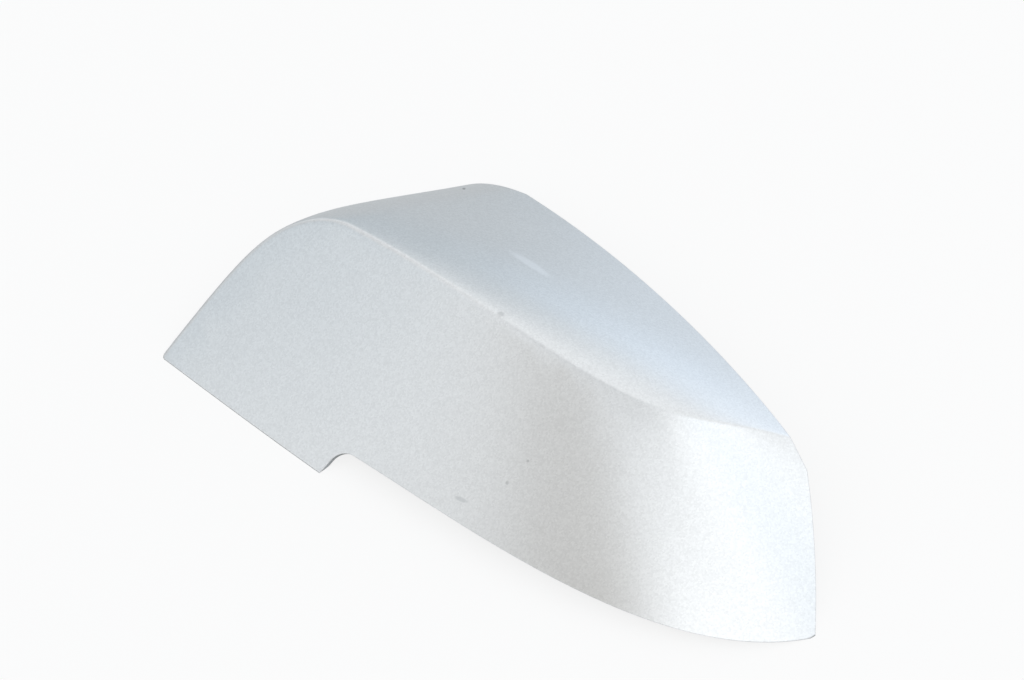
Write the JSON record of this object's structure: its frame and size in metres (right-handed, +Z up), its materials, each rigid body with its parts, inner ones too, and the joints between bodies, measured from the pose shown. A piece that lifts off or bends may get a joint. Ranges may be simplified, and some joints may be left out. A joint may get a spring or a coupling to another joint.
{
  "type": "wing mirror cover",
  "caption": "Silver painted cover cap for a car's wing mirror: creased hollow shell that clips over the mirror housing.",
  "frame": {"origin": "under the middle of the cover's box, on the table it rests on", "axes": "+X along the cover to its outer end, -Y towards the front panel's lower edge, +Z up with the hollow side down"},
  "size_m": [0.2434, 0.1364, 0.0459],
  "materials": {
    "silver_paint": "silver metallic paint under clear lacquer on moulded ABS"
  },
  "bodies": {
    "root": {"mirror_cover": "silver_paint"}
  },
  "joints": []
}
